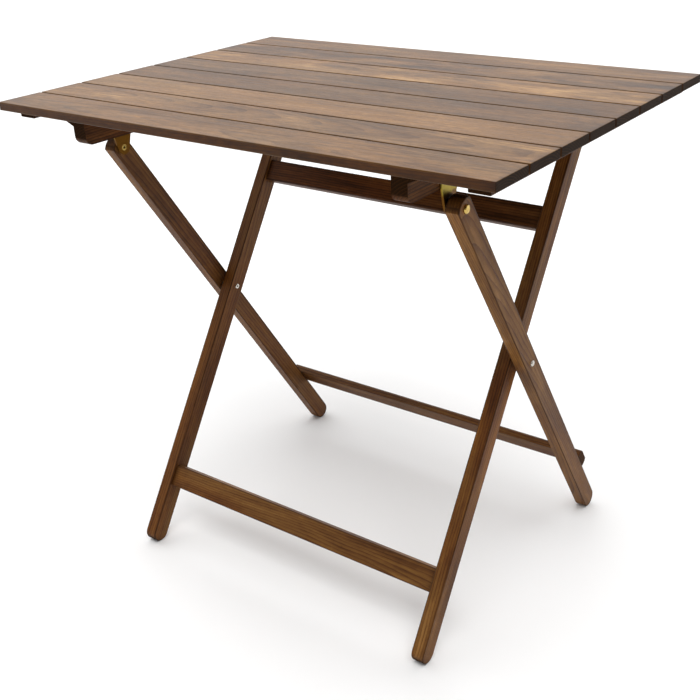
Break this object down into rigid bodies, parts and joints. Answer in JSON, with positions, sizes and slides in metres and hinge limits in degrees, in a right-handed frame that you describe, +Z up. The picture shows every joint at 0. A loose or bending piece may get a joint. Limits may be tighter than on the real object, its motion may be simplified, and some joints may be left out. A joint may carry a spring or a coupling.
{
  "type": "folding picnic table",
  "caption": "Slatted wooden picnic table whose top is hinged to one of two scissor leg frames, so that it opens and closes on riveted pivots.",
  "frame": {"origin": "on the floor under the middle of the table top", "axes": "+X along the slats to the right, +Y from the near long side to the far one, +Z up"},
  "size_m": [0.8, 0.597, 0.733],
  "materials": {
    "top_wood": "walnut-stained beech, thin satin lacquer",
    "frame_wood": "walnut-stained beech, matt",
    "leg_wood": "walnut-stained beech, thin satin lacquer",
    "dowel_wood": "plain turned beech",
    "yellow_zinc": "yellow passivated zinc on steel plate",
    "brass": "brassed steel rivet",
    "nickel": "nickel-plated steel rivet",
    "washer_zinc": "bright zinc",
    "screw_zinc": "yellow-tinged zinc"
  },
  "bodies": {
    "outer_frame": {"outer_leg_left": "leg_wood", "outer_leg_right": "leg_wood", "pivot_rivet_left": "nickel", "pivot_rivet_right": "nickel", "pivot_washer_left": "washer_zinc", "pivot_washer_right": "washer_zinc", "hinge_rivet_left": "brass", "hinge_rivet_right": "brass", "hinge_washer_left": "washer_zinc", "hinge_washer_right": "washer_zinc", "outer_back_rail": "leg_wood", "back_rail_screws": "screw_zinc"},
    "inner_frame": {"inner_leg_left": "leg_wood", "inner_leg_right": "leg_wood", "inner_low_rail": "leg_wood", "inner_high_rail": "leg_wood", "rail_dowels": "dowel_wood"},
    "table_top": {"slat_1": "top_wood", "slat_2": "top_wood", "slat_3": "top_wood", "slat_4": "top_wood", "slat_5": "top_wood", "slat_6": "top_wood", "slat_7": "top_wood", "slat_8": "top_wood", "batten_left": "frame_wood", "batten_right": "frame_wood", "end_cleat_left": "frame_wood", "end_cleat_right": "frame_wood", "glue_block_left": "frame_wood", "glue_block_right": "frame_wood", "stop_block_left": "frame_wood", "stop_block_right": "frame_wood", "hinge_plate_left": "yellow_zinc", "hinge_plate_right": "yellow_zinc", "batten_screws": "screw_zinc", "cleat_screws": "screw_zinc", "plate_screws": "screw_zinc", "stop_screws": "screw_zinc"}
  },
  "joints": [
    {"name": "scissor", "type": "hinge", "parent": "outer_frame", "child": "inner_frame", "pos_m": [0, -0.005, 0.37648], "axis": [1, 0, 0], "range_deg": [0, 66.3]},
    {"name": "top_follow", "type": "hinge", "parent": "outer_frame", "child": "table_top", "pos_m": [0, -0.18843, 0.6568], "axis": [1, 0, 0], "range_deg": [0, 34]}
  ],
  "couplings": [
    {"joint": "top_follow", "follows": "scissor", "ratio": 0.51}
  ]
}
